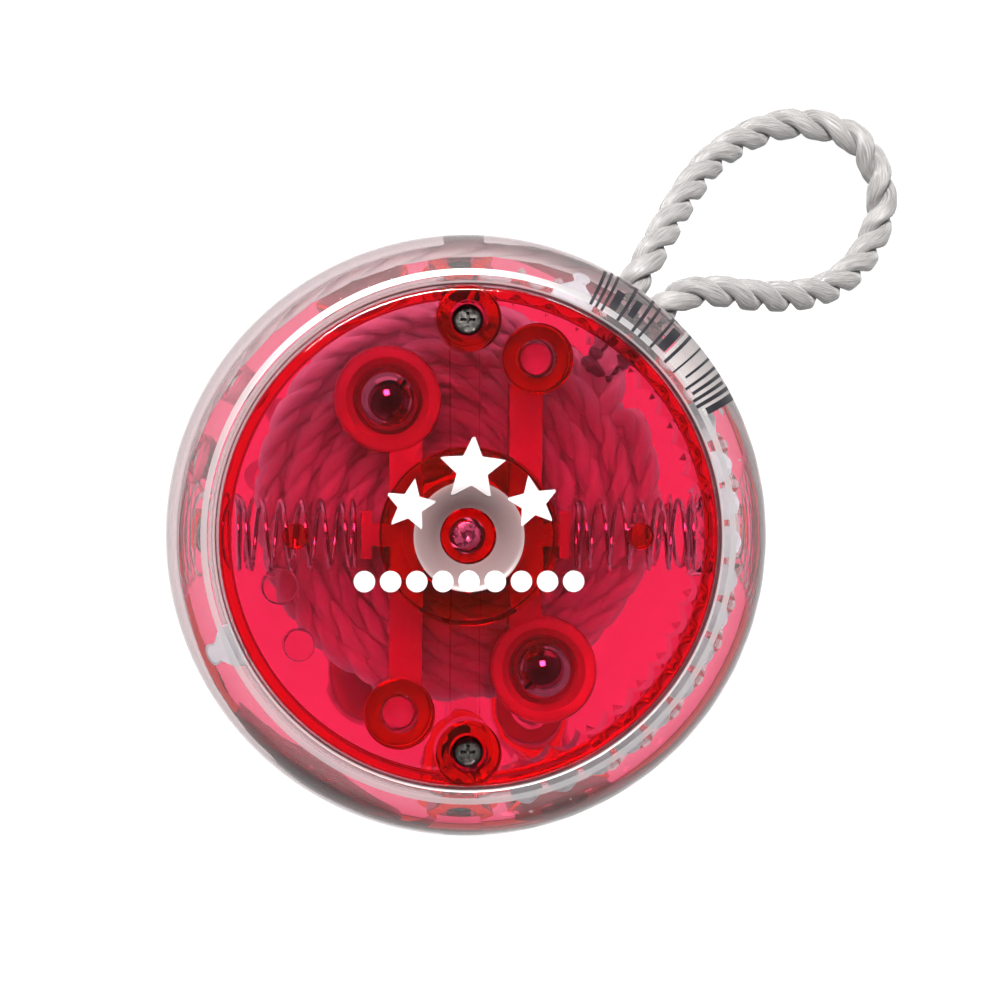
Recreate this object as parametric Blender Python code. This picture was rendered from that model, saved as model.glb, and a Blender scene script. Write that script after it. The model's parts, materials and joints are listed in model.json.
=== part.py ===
"""Centrifugal-clutch yo-yo, lying on one face, with its finger loop resting beside it.

World frame: metres, +Z up along the axle, origin on the surface under the middle of the object.
Each half is modelled in its own half frame, whose z runs outwards along the axle from the plane
between the halves. The front half faces up. The back half is the same half turned over its X axis.
"""

import bmesh
import bpy
from math import cos, pi, radians, sin
from mathutils import Matrix, Vector

MM = 0.001

# Whole object
OUTER_R = 28.575 * MM
HALF_WIDTH = 17.5 * MM
GAP = 0.3 * MM  # left between pieces that touch or fit on the real object

# Clear half body
GAP_WALL_Z = 2.2 * MM  # half of the string gap
FLOOR_Z = 3.9 * MM  # floor of the mechanism chamber
LEDGE_Z = 12.5 * MM  # the cap's skirt sits here
HUB_HOLE_R = 4.6 * MM
CHAMBER_R = 22.3 * MM
FLUTE_FROM = radians(-77)  # only this stretch of the chamber wall is fluted
FLUTE_TO = radians(57)
FLUTE_COUNT = 16
FLUTE_DEPTH = 0.9 * MM
FLUTE_POINTS = 4
WALL_SEGMENTS = 40
SEAT_R = 23.7 * MM
LIP_R = 24.9 * MM
BODY_SEGMENTS = 48
RIB_WIDTH = 2.8 * MM
RIB_START_Y = 5.0 * MM
RIB_TOP_Z = 8.0 * MM
PIVOT_POST_R = 1.5 * MM
PIVOT_POST_Z = 11.6 * MM
SCREW_POST_R = 2.4 * MM
SPRING_POCKET_R = 3.9 * MM

# Mechanism places, in the half frame
SCREW_Y = 20.4 * MM
PIVOT = Vector((-6.5 * MM, -16.65 * MM, 0))
BALL = Vector((-7.4 * MM, 12.85 * MM, 0))
BALL_R = 3.0 * MM
BALL_Z = 8.2 * MM
DRUM_R = 3.9 * MM
DRUM_TOP_Z = 9.0 * MM

# Levers
LEVER_BOTTOM_Z = FLOOR_Z + GAP
LEVER_TOP_Z = 9.0 * MM
BAR_INNER_X = -(DRUM_R + GAP)
BAR_WIDTH = 3.1 * MM
CUP_R = 5.05 * MM
CUP_FLOOR = 0.7 * MM
CUP_RIM_R = 3.95 * MM
CUP_RIM_DEPTH = 0.8 * MM
BAR_START_Y = 1.6 * MM
PIVOT_RING_R = 3.1 * MM
SEAT_PLATE_X = -10.0 * MM
SEAT_PLATE_THICK = 1.0 * MM
SEAT_PLATE_HALF = 2.3 * MM
SEAT_STEM_HALF = 1.1 * MM
BAR_STEP = 0.2 * MM  # the bar's top lies this far under the cup's

# Springs
SPRING_R = 3.5 * MM
SPRING_WIRE = 0.45 * MM
SPRING_TURNS = 7
SPRING_Z = 7.9 * MM
SPRING_OUTER_X = 21.8 * MM
POINTS_PER_TURN = 8

# Cap
CAP_R = 23.4 * MM
CAP_TOP_Z = 17.1 * MM
CAP_UNDER_Z = 15.5 * MM
CAP_SKIRT_R = 22.3 * MM
BOSS_R = 8.3 * MM
BOSS_Z = 9.6 * MM
DISH_R = 4.75 * MM
DISH_HOLE_R = 2.66 * MM
DISH_DEPTH = 2.0 * MM
WELL_Z = 13.6 * MM  # the well under the dish ends here, above the axle's blind hole
EDGE = 0.3 * MM
POST_ROOT = 0.8 * MM  # how far the posts run into the cover disc
SCREW_BOSS_R = 3.1 * MM
PIVOT_TUBE_R = 3.35 * MM
PIVOT_TUBE_BORE_R = 1.8 * MM
PIVOT_TUBE_Z = 9.3 * MM
SPRING_POST_X = 16.2 * MM
SPRING_POST_R = 1.25 * MM
SPRING_POST_Z = 11.8 * MM

# Cap screws
SCREW_HEAD_R = 1.5 * MM
SCREW_HEAD_TOP_Z = 14.2 * MM
SCREW_HEAD_HEIGHT = 1.2 * MM
SCREW_SHANK_R = 0.9 * MM
SCREW_TIP_Z = 5.6 * MM
SCREW_TIP_LENGTH = 0.8 * MM
RECESS_REACH = 0.95 * MM
RECESS_HALF = 0.2 * MM
RECESS_DEPTH = 0.6 * MM

# Axle and spindle
AXLE_R = 1.4 * MM
AXLE_END_Z = 12.4 * MM
AXLE_CHAMFER = 0.25 * MM
STRING_SEAT_R = 5.5 * MM
STRING_SEAT_WAIST_R = 5.0 * MM
STRING_SEAT_WAIST_Z = 0.7 * MM
FLANGE = 0.5 * MM

# String
CORD_D = 2.8 * MM
WINDING_R = 18.1 * MM
WINDING_HALF = 1.85 * MM
WINDING_SOFT = 0.8 * MM
KNOT_ANGLE = radians(50)
KNOT_R = 21.4 * MM
KNOT_SIZE = Vector((2.9 * MM, 2.1 * MM, 1.8 * MM))

# The finger loop's own points (x, y, z) in mm: out of the gap, down to the surface, round and back in
LOOP_ROUTE = [
    (14.4, 20.3, 17.5),
    (15.9, 23.0, 17.5),
    (17.8, 26.0, 17.2),
    (20.2, 30.0, 14.2),
    (22.7, 33.9, 10.5),
    (25.5, 37.2, 7.1),
    (29.5, 39.9, 3.6),
    (33.9, 41.3, 1.8),
    (37.8, 41.0, 1.5),
    (40.8, 39.7, 1.5),
    (42.6, 37.2, 1.5),
    (43.4, 34.5, 1.5),
    (43.2, 31.8, 1.7),
    (42.1, 29.1, 2.7),
    (40.0, 26.4, 5.0),
    (37.0, 24.4, 7.7),
    (33.4, 23.5, 10.5),
    (29.2, 23.4, 13.4),
    (25.3, 23.7, 15.9),
    (22.1, 23.4, 17.2),
    (19.7, 22.0, 17.5),
    (18.1, 19.9, 17.5),
    (17.3, 17.7, 17.5),
]
LOOP_POINTS = 48

CLEAR = ("clear_plastic", (0.93, 0.93, 0.94, 1), 0.05, 0)
RED = ("red_plastic", (0.75, 0.01, 0.05, 1), 0.08, 0)
SMOKE_RED = ("lever_plastic", (0.55, 0.01, 0.04, 1), 0.12, 0)
STEEL = ("steel", (0.6, 0.6, 0.62, 1), 0.2, 1)
PALE = ("spindle_plastic", (0.86, 0.82, 0.80, 1), 0.35, 0)
NYLON = ("cord_nylon", (0.88, 0.88, 0.88, 1), 0.6, 0)


def clear_scene():
    for obj in list(bpy.data.objects):
        bpy.data.objects.remove(obj, do_unlink=True)


def material(name, look):
    """A Principled material of the object's own, from a (kind, colour, roughness, metallic) look."""
    mat = bpy.data.materials.new(f"{name}_{look[0]}")
    mat.use_nodes = True
    shader = mat.node_tree.nodes["Principled BSDF"]
    shader.inputs["Base Color"].default_value = look[1]
    shader.inputs["Roughness"].default_value = look[2]
    shader.inputs["Metallic"].default_value = look[3]
    mat.diffuse_color = look[1]
    return mat


def finished(mesh, look):
    """Smooth where the mesh is round, sharp at its edges, and with its material."""
    mesh.shade_smooth()
    mesh.set_sharp_from_angle(angle=radians(30))
    mesh.materials.clear()
    mesh.materials.append(material(mesh.name, look))
    return mesh


def to_mesh(name, bm):
    bmesh.ops.recalc_face_normals(bm, faces=bm.faces)
    mesh = bpy.data.meshes.new(name)
    bm.to_mesh(mesh)
    bm.free()
    return mesh


def new_object(name, data):
    obj = bpy.data.objects.new(name, data)
    bpy.context.scene.collection.objects.link(obj)
    return obj


def carved(name, bm, tools):
    """A mesh from a blank and a list of (label, bmesh, operation) tools, joined or cut in turn.

    The cuts are made a thousand times larger, because the solver's tolerances suit large objects.
    """
    enlarge = Matrix.Diagonal((1 / MM, 1 / MM, 1 / MM, 1))
    bm.transform(enlarge)
    blank = new_object(f"{name}_blank", to_mesh(f"{name}_blank", bm))
    helpers = [blank]
    for label, tool_bm, operation in tools:
        tool_bm.transform(enlarge)
        tool = new_object(f"{name}_{label}", to_mesh(f"{name}_{label}", tool_bm))
        tool.hide_render = True
        tool.display_type = "WIRE"
        helpers.append(tool)
        modifier = blank.modifiers.new(label, "BOOLEAN")
        modifier.operation = operation
        modifier.solver = "EXACT"
        modifier.object = tool
    bpy.context.view_layer.update()
    depsgraph = bpy.context.evaluated_depsgraph_get()
    mesh = bpy.data.meshes.new_from_object(blank.evaluated_get(depsgraph))
    mesh.name = name
    mesh.transform(Matrix.Diagonal((MM, MM, MM, 1)))
    for helper in helpers:
        bpy.data.objects.remove(helper, do_unlink=True)
    return mesh


def turned(profile, segments=32, centre=Vector((0, 0, 0)), start=0.0):
    """A solid turned about Z from a closed (radius, z) profile. Points on the axis become one vertex.

    start is where the first corner lies, in steps, and keeps the corners of nested solids apart.
    """
    bm = bmesh.new()
    rings = []
    for radius, z in profile:
        if radius == 0:
            rings.append([bm.verts.new(centre + Vector((0, 0, z)))] * segments)
            continue
        ring = []
        for i in range(segments):
            angle = 2 * pi * (i + start) / segments
            ring.append(bm.verts.new(centre + Vector((radius * cos(angle), radius * sin(angle), z))))
        rings.append(ring)
    for lower, upper in zip(rings, rings[1:] + rings[:1]):
        for i in range(segments):
            j = (i + 1) % segments
            corners = list(dict.fromkeys((lower[i], lower[j], upper[j], upper[i])))
            if len(corners) > 2:
                bm.faces.new(corners)
    return bm


def rod(radius, low, high, segments=20, centre=Vector((0, 0, 0))):
    """A plain round rod along Z."""
    return turned([(0, low), (radius, low), (radius, high), (0, high)], segments, centre, start=0.37)


def prism(outline, low, high):
    """A straight solid between two heights from a list of (x, y) points."""
    bm = bmesh.new()
    bottom = [bm.verts.new((x, y, low)) for x, y in outline]
    top = [bm.verts.new((x, y, high)) for x, y in outline]
    bm.faces.new(bottom)
    bm.faces.new(top)
    for i in range(len(outline)):
        j = (i + 1) % len(outline)
        bm.faces.new((bottom[i], bottom[j], top[j], top[i]))
    return bm


def block(x0, x1, y0, y1, low, high):
    return prism([(x0, y0), (x1, y0), (x1, y1), (x0, y1)], low, high)


def half_matrix(side):
    """Where a half's own frame lies in the world."""
    middle = Matrix.Translation((0, 0, HALF_WIDTH))
    if side == "front":
        return middle
    return middle @ Matrix.Rotation(pi, 4, "X")


def place(obj, side, pivot=Vector((0, 0, 0)), turn=0.0):
    """Puts an object on its joint axis. The second piece of a pair is turned half way about the axle."""
    obj.matrix_world = half_matrix(side) @ Matrix.Rotation(turn, 4, "Z") @ Matrix.Translation(pivot)


def fluted_outline():
    """The chamber wall's outline: a circle, with round scallops whose crests point at the axle."""
    step = (FLUTE_TO - FLUTE_FROM) / FLUTE_COUNT
    plain = 2 * pi - FLUTE_TO + FLUTE_FROM
    points = []
    for i in range(FLUTE_COUNT * FLUTE_POINTS + 1):
        flute = i / FLUTE_POINTS
        radius = CHAMBER_R - FLUTE_DEPTH * (1 - abs(sin(pi * flute)))
        points.append((radius, FLUTE_FROM + step * flute))
    for i in range(1, WALL_SEGMENTS):
        points.append((CHAMBER_R, FLUTE_TO + plain * i / WALL_SEGMENTS))
    return [(radius * cos(angle), radius * sin(angle)) for radius, angle in points]


def body_profile():
    """The clear half before its chamber is cut: hub hole, gap wall, rounded rim, lip and cap seat."""
    gap_side = [(HUB_HOLE_R, GAP_WALL_Z), (19 * MM, GAP_WALL_Z)]
    gap_side += [(23 * MM, 2.9 * MM), (26 * MM, 4.4 * MM)]
    rim = [(27.9 * MM, 6.6 * MM), (OUTER_R, 9.0 * MM), (OUTER_R, 11.0 * MM)]
    shoulder = [(28.3 * MM, 13.2 * MM), (27.4 * MM, 15.4 * MM), (26.2 * MM, 16.9 * MM)]
    lip = [(LIP_R, HALF_WIDTH), (SEAT_R, HALF_WIDTH), (SEAT_R, LEDGE_Z), (HUB_HOLE_R, LEDGE_Z)]
    return gap_side + rim + shoulder + lip


def body_mesh():
    """The clear half, with the two posts, ribs and pockets of each side placed half a turn apart."""
    tools = [("chamber", prism(fluted_outline(), FLOOR_Z, LEDGE_Z + MM), "DIFFERENCE")]
    foot = FLOOR_Z - MM
    post_top = BOSS_Z - GAP
    for sign in (1, -1):
        spin = Matrix.Rotation(0 if sign == 1 else pi, 3, "Z")
        boss = spin @ Vector((0, SCREW_Y, 0))
        ends = sorted((RIB_START_Y * sign, (SCREW_Y - SCREW_POST_R / 2) * sign))
        rib = block(-RIB_WIDTH / 2, RIB_WIDTH / 2, *ends, foot, RIB_TOP_Z)
        screw_post = rod(SCREW_POST_R, foot, post_top + MM, 14, boss)
        pivot_post = rod(PIVOT_POST_R, foot, PIVOT_POST_Z, 10, spin @ PIVOT)
        boss_pocket = rod(SCREW_BOSS_R + GAP, post_top, LEDGE_Z + MM, 16, boss)
        pilot_hole = rod(SCREW_SHANK_R + GAP, SCREW_TIP_Z - GAP, LEDGE_Z, 8, boss)
        pocket = rod(SPRING_POCKET_R, 18 * MM, SPRING_OUTER_X + GAP, 14)
        pocket.transform(Matrix.Rotation(radians(90) * sign, 4, "Y"))
        pocket.transform(Matrix.Translation((0, 0, SPRING_Z)))
        tools += [
            (f"rib{sign}", rib, "UNION"),
            (f"screw_post{sign}", screw_post, "UNION"),
            (f"pivot_post{sign}", pivot_post, "UNION"),
            (f"boss_pocket{sign}", boss_pocket, "DIFFERENCE"),
            (f"pilot_hole{sign}", pilot_hole, "DIFFERENCE"),
            (f"spring_pocket{sign}", pocket, "DIFFERENCE"),
        ]
    return finished(carved("body", turned(body_profile(), BODY_SEGMENTS), tools), CLEAR)


def cap_profile():
    """Cover disc with its skirt, the thick central boss, the dish and well, and the axle's hole."""
    bore = [(0, AXLE_END_Z + GAP), (AXLE_R + GAP, AXLE_END_Z + GAP), (AXLE_R + GAP, BOSS_Z)]
    boss = [(BOSS_R - EDGE, BOSS_Z), (BOSS_R, BOSS_Z + EDGE), (BOSS_R, CAP_UNDER_Z)]
    skirt = [(CAP_SKIRT_R, CAP_UNDER_Z), (CAP_SKIRT_R, LEDGE_Z + GAP), (CAP_R, LEDGE_Z + GAP)]
    edge = [(CAP_R, CAP_TOP_Z - EDGE), (CAP_R - EDGE, CAP_TOP_Z), (DISH_R, CAP_TOP_Z)]
    dish = []
    for i in range(1, 5):
        fall = i / 4
        radius = DISH_R + (DISH_HOLE_R - DISH_R) * fall
        dish.append((radius, CAP_TOP_Z - DISH_DEPTH * fall**1.5))
    well = [(DISH_HOLE_R, WELL_Z), (0, WELL_Z)]
    return bore + boss + skirt + edge + dish + well


def cap_mesh():
    """The cap, with its screw bosses, pivot tubes and spring posts placed half a turn apart."""
    tools = []
    root_z = CAP_UNDER_Z + POST_ROOT
    bore_z = BOSS_Z - MM
    head_seat = SCREW_HEAD_TOP_Z - SCREW_HEAD_HEIGHT - GAP
    for sign in (1, -1):
        spin = Matrix.Rotation(0 if sign == 1 else pi, 3, "Z")
        screw = spin @ Vector((0, SCREW_Y, 0))
        pivot = spin @ PIVOT
        spring = spin @ Vector((SPRING_POST_X, 0, 0))
        screw_boss = rod(SCREW_BOSS_R, BOSS_Z, root_z, 16, screw)
        pivot_tube = rod(PIVOT_TUBE_R, PIVOT_TUBE_Z, root_z, 16, pivot)
        spring_post = rod(SPRING_POST_R, SPRING_POST_Z, root_z, 8, spring)
        counterbore = rod(SCREW_HEAD_R + GAP, head_seat, HALF_WIDTH, 14, screw)
        screw_hole = rod(SCREW_SHANK_R + GAP, bore_z, HALF_WIDTH, 8, screw)
        pivot_bore = rod(PIVOT_TUBE_BORE_R, bore_z, CAP_UNDER_Z, 12, pivot)
        tools += [
            (f"screw_boss{sign}", screw_boss, "UNION"),
            (f"pivot_tube{sign}", pivot_tube, "UNION"),
            (f"spring_post{sign}", spring_post, "UNION"),
            (f"counterbore{sign}", counterbore, "DIFFERENCE"),
            (f"screw_hole{sign}", screw_hole, "DIFFERENCE"),
            (f"pivot_bore{sign}", pivot_bore, "DIFFERENCE"),
        ]
    return finished(carved("cap", turned(cap_profile(), 36), tools), RED)


def lever_mesh():
    """One clutch lever, with its origin on its pivot."""
    low, high = LEVER_BOTTOM_Z, LEVER_TOP_Z
    ball = BALL - PIVOT
    bar_x = BAR_INNER_X - PIVOT.x
    plate_x = SEAT_PLATE_X - PIVOT.x
    middle_y = -PIVOT.y
    stem_y = (middle_y - SEAT_STEM_HALF, middle_y + SEAT_STEM_HALF)
    plate_y = (middle_y - SEAT_PLATE_HALF, middle_y + SEAT_PLATE_HALF)
    bar_top = high - BAR_STEP
    stem_top = high - 2 * BAR_STEP
    over = high + MM
    rim = [(0, high - CUP_RIM_DEPTH), (BALL_R + GAP, high - CUP_RIM_DEPTH)]
    rim += [(CUP_RIM_R, high), (CUP_RIM_R, over), (0, over)]
    bar = block(bar_x - BAR_WIDTH, bar_x, BAR_START_Y, ball.y - BALL_R, low, bar_top)
    stem = block(plate_x + MM / 2, bar_x - MM, *stem_y, low, stem_top)
    plate = block(plate_x, plate_x + SEAT_PLATE_THICK, *plate_y, low, high)
    tools = (
        ("bar", bar, "UNION"),
        ("cup", rod(CUP_R, low, high, 20, ball), "UNION"),
        ("stem", stem, "UNION"),
        ("plate", plate, "UNION"),
        ("ball_bore", rod(BALL_R + GAP, low + CUP_FLOOR, over, 16, ball), "DIFFERENCE"),
        ("rim", turned(rim, 16, ball), "DIFFERENCE"),
        ("pivot_hole", rod(PIVOT_POST_R + GAP, low - MM, over, 12), "DIFFERENCE"),
    )
    blank = rod(PIVOT_RING_R, low, high, 16)
    return finished(carved("lever", blank, tools), SMOKE_RED)


def ball_mesh():
    """A ball in its lever's cup, with the origin on the lever's pivot."""
    bm = bmesh.new()
    bmesh.ops.create_uvsphere(bm, u_segments=12, v_segments=8, radius=BALL_R)
    bm.transform(Matrix.Translation(BALL - PIVOT + Vector((0, 0, BALL_Z))))
    return finished(to_mesh("ball", bm), STEEL)


def tube_curve(name, points, diameter, look, resolution):
    """A round tube through points, with filled ends."""
    curve = bpy.data.curves.new(name, "CURVE")
    curve.dimensions = "3D"
    curve.bevel_depth = diameter / 2
    curve.bevel_resolution = resolution
    curve.use_fill_caps = True
    spline = curve.splines.new("POLY")
    spline.points.add(len(points) - 1)
    for point, place_at in zip(spline.points, points):
        point.co = (*place_at, 1)
    curve.materials.append(material(name, look))
    return curve


def spring_curve():
    """A compression spring along X, from the chamber wall to the lever's seat plate."""
    start = -SPRING_OUTER_X + SPRING_WIRE / 2
    end = SEAT_PLATE_X - GAP - SPRING_WIRE / 2
    radius = SPRING_R - SPRING_WIRE / 2
    steps = SPRING_TURNS * POINTS_PER_TURN
    points = []
    for i in range(steps + 1):
        angle = 2 * pi * i / POINTS_PER_TURN
        x = start + (end - start) * i / steps
        points.append((x, radius * cos(angle), SPRING_Z + radius * sin(angle)))
    return tube_curve("spring", points, SPRING_WIRE, STEEL, 0)


def cap_screw_mesh():
    """A pan-head screw with a cross recess, which stands in a counterbore of the cap."""
    top = SCREW_HEAD_TOP_Z
    under = top - SCREW_HEAD_HEIGHT
    shank = [(0, SCREW_TIP_Z), (SCREW_SHANK_R, SCREW_TIP_Z + SCREW_TIP_LENGTH)]
    shank.append((SCREW_SHANK_R, under))
    head = [(SCREW_HEAD_R, under), (SCREW_HEAD_R, top - EDGE), (SCREW_HEAD_R - EDGE, top), (0, top)]
    long, wide = RECESS_REACH, RECESS_HALF
    cross = [(long, -wide), (long, wide), (wide, wide), (wide, long), (-wide, long), (-wide, wide)]
    cross += [(-x, -y) for x, y in cross]
    recess = ("recess", prism(cross, top - RECESS_DEPTH, top + MM), "DIFFERENCE")
    return finished(carved("cap_screw", turned(shank + head, 12), (recess,)), STEEL)


def make_axle():
    """The steel axle, whose ends sit in the blind holes of the caps."""
    end = AXLE_END_Z
    upper = [(AXLE_R, end - AXLE_CHAMFER), (AXLE_R - AXLE_CHAMFER, end), (0, end)]
    lower = [(radius, -z) for radius, z in reversed(upper)]
    axle = new_object("axle", finished(to_mesh("axle", turned(lower + upper, 12)), STEEL))
    place(axle, "front")


def make_spindle():
    """String seat between two flanges, with a clutch drum at each end and a bore for the axle."""
    bore = AXLE_R + GAP
    seat = GAP_WALL_Z - GAP
    drum = [(bore, DRUM_TOP_Z), (DRUM_R - EDGE, DRUM_TOP_Z), (DRUM_R, DRUM_TOP_Z - EDGE)]
    outer = [(DRUM_R, seat), (STRING_SEAT_R, seat), (STRING_SEAT_R, seat - FLANGE)]
    outer.append((STRING_SEAT_WAIST_R, STRING_SEAT_WAIST_Z))
    upper = drum + outer
    lower = [(radius, -z) for radius, z in reversed(upper)]
    spindle = new_object("spindle", finished(to_mesh("spindle", turned(upper + lower, 20)), PALE))
    place(spindle, "front")


def make_winding():
    """The outer shape of the wound string: a ring with rounded edges round the spindle's seat."""
    inner = STRING_SEAT_R + GAP
    outer = WINDING_R
    half = WINDING_HALF
    profile = [(inner, -half), (outer - WINDING_SOFT, -half), (outer, -half + WINDING_SOFT)]
    profile += [(outer, half - WINDING_SOFT), (outer - WINDING_SOFT, half), (inner, half)]
    mesh = finished(to_mesh("string_winding", turned(profile, 32)), NYLON)
    place(new_object("string_winding", mesh), "front")


def smooth_route(points, count):
    """Points at even steps along the Catmull-Rom curve through a route."""
    route = [Vector(p) * MM for p in points]
    ends = [route[0] * 2 - route[1]] + route + [route[-1] * 2 - route[-2]]
    fine = []
    for a, b, c, d in zip(ends, ends[1:], ends[2:], ends[3:]):
        for i in range(24):
            t = i / 24
            bend = a * (-t + 2 * t**2 - t**3) + b * (2 - 5 * t**2 + 3 * t**3)
            bend += c * (t + 4 * t**2 - 3 * t**3) + d * (t**3 - t**2)
            fine.append(bend / 2)
    fine.append(route[-1])
    lengths = [0.0]
    for p, q in zip(fine, fine[1:]):
        lengths.append(lengths[-1] + (q - p).length)
    picked = []
    index = 0
    for i in range(count):
        target = lengths[-1] * i / (count - 1)
        while index < len(fine) - 2 and lengths[index + 1] < target:
            index += 1
        share = (target - lengths[index]) / (lengths[index + 1] - lengths[index])
        picked.append(fine[index].lerp(fine[index + 1], share))
    return picked


def make_loop():
    """The finger loop's cord, from one side of the knot to the other."""
    points = smooth_route(LOOP_ROUTE, LOOP_POINTS)
    new_object("string_loop", tube_curve("string_loop", points, CORD_D, NYLON, 2))


def make_knot():
    """The knot at the root of the finger loop, in the gap between the halves."""
    bm = bmesh.new()
    bmesh.ops.create_uvsphere(bm, u_segments=10, v_segments=6, radius=1)
    bm.transform(Matrix.Diagonal((*KNOT_SIZE, 1)))
    bm.transform(Matrix.Translation((KNOT_R, 0, HALF_WIDTH)))
    bm.transform(Matrix.Rotation(KNOT_ANGLE, 4, "Z"))
    new_object("loop_knot", finished(to_mesh("loop_knot", bm), NYLON))


def main():
    clear_scene()
    body, cap, screw = body_mesh(), cap_mesh(), cap_screw_mesh()
    lever, ball, spring = lever_mesh(), ball_mesh(), spring_curve()
    for side in ("front", "back"):
        place(new_object(f"{side}_body", body), side)
        place(new_object(f"{side}_cap", cap), side)
        for number in (1, 2):
            turn = pi * (number - 1)
            place(new_object(f"{side}_cap_screw_{number}", screw), side, Vector((0, SCREW_Y, 0)), turn)
            place(new_object(f"{side}_lever_{number}", lever), side, PIVOT, turn)
            place(new_object(f"{side}_ball_{number}", ball), side, PIVOT, turn)
            place(new_object(f"{side}_spring_{number}", spring), side, turn=turn)
    make_axle()
    make_spindle()
    make_winding()
    make_loop()
    make_knot()


main()
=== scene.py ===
"""Looks for the clutch yo-yo: clear and translucent red mouldings, steel clutch parts and twisted cord.

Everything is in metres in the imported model's frame. Each half is built in its own half frame, whose z
runs outwards along the axle from the plane between the halves. The front half faces up, and the back
half is the same half turned over its X axis.
"""

import json
from math import cos, pi, radians, sin

import bmesh
import bpy
import numpy as np
from mathutils import Matrix, Vector


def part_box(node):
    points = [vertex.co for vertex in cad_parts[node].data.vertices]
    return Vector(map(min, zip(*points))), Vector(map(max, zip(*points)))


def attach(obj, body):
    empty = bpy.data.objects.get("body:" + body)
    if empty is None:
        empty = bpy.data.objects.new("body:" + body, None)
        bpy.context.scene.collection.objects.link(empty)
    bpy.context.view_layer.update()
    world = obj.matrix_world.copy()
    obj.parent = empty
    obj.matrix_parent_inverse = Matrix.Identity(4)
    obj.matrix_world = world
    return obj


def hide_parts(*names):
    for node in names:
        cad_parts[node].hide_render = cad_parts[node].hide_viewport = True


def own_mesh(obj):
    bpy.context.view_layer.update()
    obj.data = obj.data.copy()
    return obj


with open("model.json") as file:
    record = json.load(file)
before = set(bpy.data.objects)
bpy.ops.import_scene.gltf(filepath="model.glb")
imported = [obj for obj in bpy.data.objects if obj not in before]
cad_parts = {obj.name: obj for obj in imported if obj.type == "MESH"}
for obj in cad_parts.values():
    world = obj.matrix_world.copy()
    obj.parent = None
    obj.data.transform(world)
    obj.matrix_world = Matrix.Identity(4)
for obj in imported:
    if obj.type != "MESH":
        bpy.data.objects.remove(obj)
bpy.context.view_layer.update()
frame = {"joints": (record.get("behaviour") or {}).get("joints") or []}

MM = 0.001
SCENE = bpy.context.scene
JOINTS = {j["name"]: j for j in frame["joints"]}


def half_size(node, axis):
    low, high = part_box(node)
    return (high[axis] - low[axis]) / 2


# Main sizes and places, from the frame
OUTER_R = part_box("front_body")[1].x
TOP_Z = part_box("front_body")[1].z
MIDDLE = TOP_Z / 2
PIVOT = Vector((*JOINTS["front_lever_1_swing"]["pos_m"][:2], 0))
BALL_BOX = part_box("front_ball_1")
BALL = (BALL_BOX[0] + BALL_BOX[1]) / 2 - Vector((0, 0, MIDDLE))
BALL_R = half_size("front_ball_1", 2)
SCREW_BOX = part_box("front_cap_screw_1")
SCREW_Y = (SCREW_BOX[0].y + SCREW_BOX[1].y) / 2
SCREW_HEAD_R = half_size("front_cap_screw_1", 0)
SCREW_HEAD_TOP_Z = SCREW_BOX[1].z - MIDDLE
SCREW_TIP_Z = SCREW_BOX[0].z - MIDDLE
GAP_WALL_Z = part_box("front_body")[0].z - MIDDLE
CAP_R = half_size("front_cap", 0)
CAP_TOP_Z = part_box("front_cap")[1].z - MIDDLE
CAP_BOTTOM_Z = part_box("front_cap")[0].z - MIDDLE
LEVER_BOTTOM_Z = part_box("front_lever_1")[0].z - MIDDLE
LEVER_TOP_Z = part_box("front_lever_1")[1].z - MIDDLE
SEAT_PLATE_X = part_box("front_spring_1")[1].x + 0.3 * MM
SPRING_OUTER_X = -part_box("front_spring_1")[0].x
SPRING_R = half_size("front_spring_1", 1)
SPRING_Z = (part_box("front_spring_1")[0].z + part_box("front_spring_1")[1].z) / 2 - MIDDLE
AXLE_R = half_size("axle", 1)
AXLE_END_Z = half_size("axle", 2)
DRUM_TOP_Z = half_size("spindle", 2)
STRING_SEAT_R = half_size("spindle", 1)

# Smaller features of the mouldings
GAP = 0.3 * MM
FLOOR_Z = 3.9 * MM
LEDGE_Z = 12.5 * MM
HUB_HOLE_R = 4.6 * MM
CHAMBER_R = 22.3 * MM
FLUTE_FROM = radians(-77)
FLUTE_TO = radians(57)
FLUTE_COUNT = 16
FLUTE_DEPTH = 0.9 * MM
SCALLOP_R = (23.5 * MM, 25.25 * MM)  # milky scallops in the clear rim, from the lip outwards
SCALLOP_Z = (11.7 * MM, 12.0 * MM)
SCALLOP_STEP = radians(8.4)
SCALLOP_FILL = 0.497  # half a scallop's width as a share of its step
SCALLOP_START = radians(-77)
SCALLOP_COUNT = 12
LARGE_SCALLOPS = (radians(26), radians(205), radians(66))
LARGE_SCALLOP_WIDTH = radians(11)
STUD_TOP_Z = 9.0 * MM
STUDS = (  # clear studs on the chamber floor: angle, distance from the axle, radius, top
    (radians(134), 20.3 * MM, 1.3 * MM, LEVER_BOTTOM_Z - GAP),  # low, because the levers pass over
    (radians(314), 20.3 * MM, 1.3 * MM, LEVER_BOTTOM_Z - GAP),
    (radians(195.5), 18.2 * MM, 1.75 * MM, STUD_TOP_Z),
    (radians(213.5), 18.9 * MM, 1.5 * MM, STUD_TOP_Z),
)
SEAT_R = 23.7 * MM
LIP_R = 24.5 * MM
DRUM_R = 3.9 * MM
BAR_WIDTH = 3.1 * MM
CUP_R = 5.05 * MM
CUP_FLOOR = 0.7 * MM
CUP_RIM_R = 3.95 * MM
PIVOT_POST_R = 1.5 * MM
PIVOT_RING_R = 3.1 * MM
PIVOT_POST_Z = 11.6 * MM
SCREW_POST_R = 2.4 * MM
SCREW_SHANK_R = 0.9 * MM
SCREW_BOSS_R = 3.1 * MM
RIB_WIDTH = 2.8 * MM
RIB_START_Y = 5.0 * MM
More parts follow.
